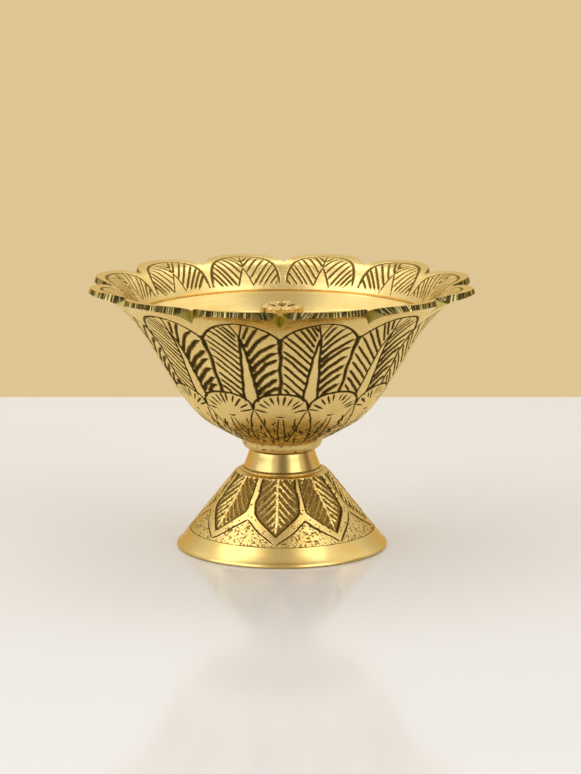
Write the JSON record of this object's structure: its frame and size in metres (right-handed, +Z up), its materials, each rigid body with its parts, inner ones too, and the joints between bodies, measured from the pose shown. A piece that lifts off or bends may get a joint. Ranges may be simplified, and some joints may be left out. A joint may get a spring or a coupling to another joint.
{
  "type": "diya oil lamp",
  "caption": "Footed brass oil lamp: a flared bowl with a scalloped petal rim and a raised perforated wick cap, on a conical pedestal.",
  "frame": {"origin": "centre of the pedestal's flat underside, where the lamp's axis meets the surface it stands on", "axes": "+Z up along the lamp's axis, -Y towards the viewer in front of the lamp, +X to that viewer's right"},
  "size_m": [0.101, 0.101, 0.0717],
  "materials": {
    "cast_brass": "polished casting with blackened chiselled grooves",
    "pedestal_brass": "polished neck and rim, pitted relief between leaves",
    "wick_cap_brass": "as cast, slightly darkened",
    "turned_brass": "lathe turned, satin",
    "stud_brass": "threaded, dull",
    "fibre": "dull vulcanised fibre",
    "zinc_steel": "zinc plated"
  },
  "bodies": {
    "lamp": {"bowl": "cast_brass", "pedestal": "pedestal_brass", "wick_stem": "turned_brass", "tie_stud": "stud_brass", "seal_washer": "fibre", "base_washer": "zinc_steel", "spring_washer": "zinc_steel", "hex_nut": "zinc_steel"},
    "loose_cap": {"wick_cap": "wick_cap_brass"}
  },
  "joints": [
    {"name": "wick_cap_lift", "type": "slide", "parent": "lamp", "child": "loose_cap", "axis": [0, 0, 1], "range_m": [0, 0.012]}
  ]
}
